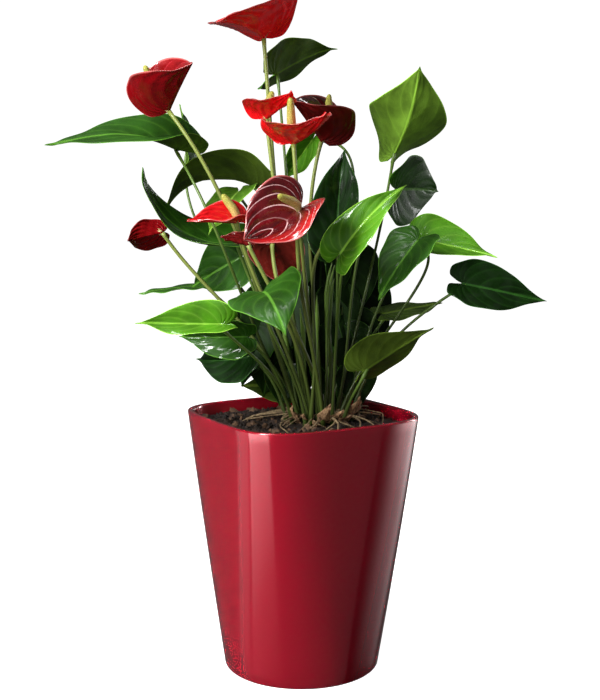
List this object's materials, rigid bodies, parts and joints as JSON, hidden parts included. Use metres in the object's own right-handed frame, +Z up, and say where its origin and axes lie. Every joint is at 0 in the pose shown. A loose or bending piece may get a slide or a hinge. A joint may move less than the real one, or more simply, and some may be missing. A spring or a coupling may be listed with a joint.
{
  "type": "potted anthurium",
  "caption": "Flowering anthurium with glossy heart-shaped leaves and red and maroon spathes, standing in a tall glossy red planter with a round foot and a rounded square rim.",
  "frame": {"origin": "centre of the planter's foot, on the surface it stands on", "axes": "+Z up; the planter's flat sides face +X, -X, +Y and -Y; the plant's show side faces between -X and -Y, 30.5 degrees from -Y"},
  "size_m": [0.301, 0.2269, 0.4582],
  "materials": {
    "pot": "high gloss deep red",
    "soil": "moist dark potting mix",
    "leaf": "waxy gloss, paler veins and matte paler underside",
    "stem": "smooth satin",
    "spathe_red": "waxy gloss",
    "spathe_maroon": "lacquered gloss with raised veins",
    "spadix": "finely knobbed, satin"
  },
  "bodies": {
    "root": {"leaf_back_high": "leaf", "leaf_back_left": "leaf", "leaf_back_right": "leaf", "leaf_centre_dark": "leaf", "leaf_centre_hanging": "leaf", "leaf_centre_pale": "leaf", "leaf_far_left": "leaf", "leaf_far_right": "leaf", "leaf_front_bright": "leaf", "leaf_front_heart": "leaf", "leaf_left_arch": "leaf", "leaf_left_bowl": "leaf", "leaf_left_bright": "leaf", "leaf_left_dark": "leaf", "leaf_left_edge_on": "leaf", "leaf_left_glossy": "leaf", "leaf_left_low": "leaf", "leaf_left_pale": "leaf", "leaf_left_thin": "leaf", "leaf_low_olive": "leaf", "leaf_right_back": "leaf", "leaf_right_bright": "leaf", "leaf_right_flat": "leaf", "leaf_right_hanging": "leaf", "leaf_right_low": "leaf", "leaf_right_tall": "leaf", "leaf_top": "leaf", "pot": "pot", "soil": "soil", "spadix_cup": "spadix", "spadix_dark": "spadix", "spadix_far_left": "spadix", "spadix_front": "spadix", "spadix_hanging": "spadix", "spadix_left": "spadix", "spadix_maroon": "spadix", "spadix_side": "spadix", "spadix_small": "spadix", "spadix_top": "spadix", "spathe_cup": "spathe_red", "spathe_dark": "spathe_maroon", "spathe_far_left": "spathe_red", "spathe_front": "spathe_maroon", "spathe_hanging": "spathe_maroon", "spathe_left": "spathe_red", "spathe_maroon": "spathe_maroon", "spathe_side": "spathe_red", "spathe_small": "spathe_red", "spathe_top": "spathe_red", "stem_cup": "stem", "stem_dark": "stem", "stem_far_left": "stem", "stem_front": "stem", "stem_hanging": "stem", "stem_left": "stem", "stem_maroon": "stem", "stem_side": "stem", "stem_small": "stem", "stem_top": "stem"}
  },
  "joints": []
}
